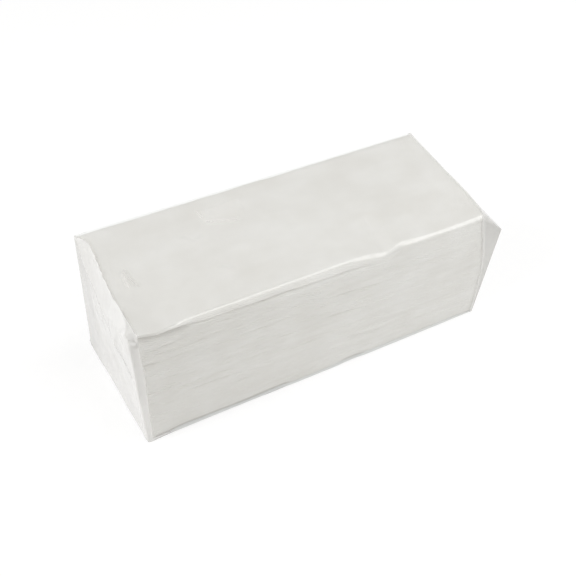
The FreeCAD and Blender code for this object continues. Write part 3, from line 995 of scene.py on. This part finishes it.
# Lamps: azimuth and elevation in degrees, distance, width and height in metres, how bright they
# look, and whether the film mirrors them.
LAMPS = {
    "overhead": (-9, 64, 1.1, 0.27, 1.0, 2.3, True),
    "side": (176, 27, 1.5, 1.1, 1.0, 2.5, False),
    "fill": (-45, 18, 1.0, 1.2, 0.8, 1.0, False),
}
LAMP_TARGET = (0, 0, 0.04)

# The camera: angles in degrees, and in metres how far it is from the middle of the pack, and how
# far right of the picture's centre and above it that middle is seen.
CAMERA_AZIMUTH, CAMERA_ELEVATION, CAMERA_ROLL = -31.366, 42.585, 2.527
CAMERA_DISTANCE, SEEN_RIGHT, SEEN_ABOVE = 0.56484, 0.00037, 0.00703
PACK_MIDDLE = (0, 0, 0.0435)
LENS = 58.07  # millimetres, on Blender's usual 36 mm sensor


def add_floor():
    """A plain white floor that the camera and mirrors see as white, with the pack's shadow: lit, and
    near the pack a painted contact shadow that dims the glow.
    """
    mesh = bpy.data.meshes.new("floor")
    signs = (-1, -1), (1, -1), (1, 1), (-1, 1)
    corners = [(x * FLOOR_REACH, y * FLOOR_REACH, 0) for x, y in signs]
    mesh.from_pydata(corners, [], [(0, 1, 2, 3)])
    material, output = new_material("floor")
    nodes = Nodes(material.node_tree)
    lit = nodes.add("BsdfDiffuse", Color=(FLOOR_TONE,) * 3 + (1,)).outputs[0]
    part_lit = nodes.add("BsdfDiffuse", Color=(SEEN_TONE,) * 3 + (1,)).outputs[0]
    # Painted contact shadow: ambient occlusion dims the floor's glow next to the pack.
    glow_left_by_painted_shadow = nodes.add("AmbientOcclusion", {"samples": 8}, Distance=CONTACT_REACH).outputs["AO"]
    glow_left_by_painted_shadow = nodes.ramp(glow_left_by_painted_shadow, (CONTACT_SHADE,) * 3, (1, 1, 1), 0.05, 0.35)
    strength = nodes.math("MULTIPLY", glow_left_by_painted_shadow, SEEN_GLOW)
    glow = nodes.add("Emission", Color=(1, 1, 1, 1), Strength=strength).outputs[0]
    seen = nodes.fill(nodes.add("AddShader"), part_lit, glow)
    nodes.put(output.inputs["Surface"], nodes.mix(nodes.looked_at(), lit, seen))
    mesh.materials.append(material)
    floor = add_object("floor", mesh)


def add_world():
    """White to look at and in reflections, and a plain soft light on everything else."""
    world = bpy.data.worlds.new("studio")
    world.use_nodes = True
    world.node_tree.nodes.clear()
    nodes = Nodes(world.node_tree)
    looking = nodes.looked_at()
    seen = nodes.add("Background", Color=(1, 1, 1, 1), Strength=1.0).outputs[0]
    light = nodes.add("Background", Color=WORLD_COLOUR, Strength=WORLD_LIGHT).outputs[0]
    output = nodes.add("OutputWorld")
    nodes.put(output.inputs["Surface"], nodes.mix(looking, light, seen))
    bpy.context.scene.world = world


def add_softbox(name, azimuth, elevation, distance, width, height, radiance, mirrored):
    """A square lamp that looks at the pack; its power follows from how bright it looks."""
    azimuth, elevation = math.radians(azimuth), math.radians(elevation)
    away = Vector((math.cos(elevation) * math.cos(azimuth),
                   math.cos(elevation) * math.sin(azimuth), math.sin(elevation)))
    lamp = bpy.data.lights.new(name, "AREA")
    lamp.shape = "RECTANGLE"
    lamp.size, lamp.size_y = width, height
    lamp.energy = radiance * math.pi * width * height
    item = add_object(name, lamp)
    item.location = Vector(LAMP_TARGET) + away * distance
    item.rotation_euler = away.to_track_quat("Z", "Y").to_euler()
    item.visible_glossy = mirrored


def add_camera():
    """A tripod view from the front left and above, with a slight roll."""
    azimuth, elevation, roll = (math.radians(angle) for angle in
                                (CAMERA_AZIMUTH, CAMERA_ELEVATION, CAMERA_ROLL))
    back = Vector((math.sin(azimuth) * math.cos(elevation),
                   -math.cos(azimuth) * math.cos(elevation), math.sin(elevation)))
    level_right = Vector((math.cos(azimuth), math.sin(azimuth), 0))
    level_up = back.cross(level_right)
    right = level_right * math.cos(roll) + level_up * math.sin(roll)
    up = level_up * math.cos(roll) - level_right * math.sin(roll)
    place = Vector(PACK_MIDDLE) + back * CAMERA_DISTANCE - right * SEEN_RIGHT - up * SEEN_ABOVE
    camera = bpy.data.cameras.new("camera")
    camera.lens = LENS
    camera.clip_start = 0.01
    item = add_object("camera", camera)
    turn = Matrix((right, up, back)).transposed()
    item.matrix_world = Matrix.Translation(place) @ turn.to_4x4()
    bpy.context.scene.camera = item


def main():
    bpy.context.scene.view_settings.view_transform = "Standard"
    add_camera()
    add_world()
    add_floor()
    for name, values in LAMPS.items():
        add_softbox(name, *values)
    towels = make_towels(make_paper())
    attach(towels, "root")
    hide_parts("towel_stack")
    film = make_film_skin(make_film())
    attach(film, "root")
    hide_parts("film_wrap")


main()
